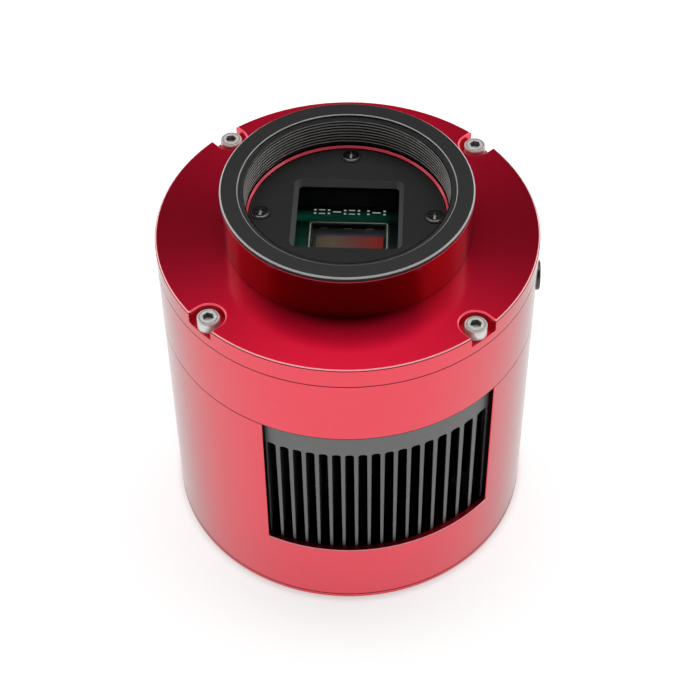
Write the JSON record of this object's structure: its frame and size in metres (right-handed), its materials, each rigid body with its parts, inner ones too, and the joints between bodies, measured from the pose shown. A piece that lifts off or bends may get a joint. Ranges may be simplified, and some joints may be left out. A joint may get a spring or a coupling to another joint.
{
  "type": "cooled astronomy camera",
  "caption": "Round cooled camera for a telescope: short threaded neck over a sealed sensor chamber, finned heat sink behind side vents, fan and ports at the rear.",
  "frame": {"origin": "centre of the rear face that the camera stands on", "axes": "+Z along the optical axis towards the telescope; -Y towards the near side vent; +X towards the desiccant plug"},
  "size_m": [0.0787, 0.078, 0.086],
  "materials": {
    "anodised_red": "turned aluminium, bright red anodised, satin with fine turning marks",
    "anodised_black": "turned aluminium, black anodised, satin",
    "black_plate": "matte black anodised aluminium plate",
    "black_screw": "black oxide steel",
    "steel_screw": "stainless steel",
    "window_glass": "clear coated window glass",
    "lid_glass": "clear coated lid glass",
    "black_rubber": "moulded black silicone",
    "plug_metal": "dark grey anodised aluminium",
    "bare_aluminium": "plain machined aluminium",
    "drying_tablet": "pressed drying agent",
    "green_board": "green solder mask over glass fibre laminate",
    "chip_black": "moulded epoxy",
    "ceramic_package": "black multilayer ceramic",
    "silicon_die": "polished silicon with a thin-film sheen",
    "gold_seal": "gold plated line",
    "nylon": "natural nylon",
    "cooler_ceramic": "white alumina",
    "cooler_legs": "bismuth telluride",
    "copper": "machined copper",
    "foam": "closed-cell foam",
    "heat_sink_metal": "cast aluminium with a dark grey satin finish",
    "connector_black": "glass filled black plastic",
    "port_shell": "nickel plated drawn steel",
    "fan_plastic": "moulded black plastic",
    "bearing_bronze": "sintered bronze",
    "stator": "laminated steel with varnished copper windings",
    "magnet": "bonded ferrite",
    "steel_shaft": "ground steel"
  },
  "bodies": {
    "camera": {"board_screws": "steel_screw", "board_standoffs": "nylon", "chamber_shell": "anodised_red", "clamp_screws": "steel_screw", "cold_finger": "copper", "cover_screws": "steel_screw", "dc_jack": "connector_black", "desiccant_holder": "bare_aluminium", "desiccant_tablets": "drying_tablet", "fan_bearing": "bearing_bronze", "fan_frame": "fan_plastic", "fan_nuts": "steel_screw", "fan_screws": "black_screw", "fan_stator": "stator", "front_cover": "anodised_red", "front_o_ring": "black_rubber", "heat_sink": "heat_sink_metal", "insulation_ring": "foam", "lower_shell": "anodised_red", "main_board": "green_board", "main_board_chips": "chip_black", "main_board_screws": "steel_screw", "neck_ring": "anodised_red", "protect_window": "window_glass", "rear_cover": "anodised_red", "rear_cover_screws": "black_screw", "rear_o_ring": "black_rubber", "sensor_board": "green_board", "sensor_board_chips": "chip_black", "sensor_die": "silicon_die", "sensor_glass": "lid_glass", "sensor_package": "ceramic_package", "sensor_seal": "gold_seal", "signal_feedthrough": "connector_black", "signal_socket": "connector_black", "tec_cold_plate": "cooler_ceramic", "tec_hot_plate": "cooler_ceramic", "tec_lower_pellets": "cooler_legs", "tec_mid_plate": "cooler_ceramic", "tec_upper_pellets": "cooler_legs", "usb2_port_a": "port_shell", "usb2_port_b": "port_shell", "usb3_port": "port_shell", "window_gasket": "black_rubber", "window_retainer": "black_plate", "window_screws": "black_screw"},
    "adapter_ring": {"t2_adapter_ring": "anodised_black"},
    "fan_wheel": {"fan_rotor": "fan_plastic", "fan_magnet_ring": "magnet", "fan_shaft": "steel_shaft"},
    "side_plug": {"desiccant_plug": "plug_metal", "plug_o_ring": "black_rubber"}
  },
  "joints": [
    {"name": "adapter_ring_unscrew", "type": "slide", "parent": "camera", "child": "adapter_ring", "axis": [0, 0, 1], "range_m": [0, 0.012]},
    {"name": "fan_spin", "type": "hinge", "parent": "camera", "child": "fan_wheel", "pos_m": [0.01, 0, 0.006], "axis": [0, 0, 1], "continuous": true},
    {"name": "plug_unscrew", "type": "slide", "parent": "camera", "child": "side_plug", "axis": [1, 0, 0], "range_m": [0, 0.01]}
  ]
}
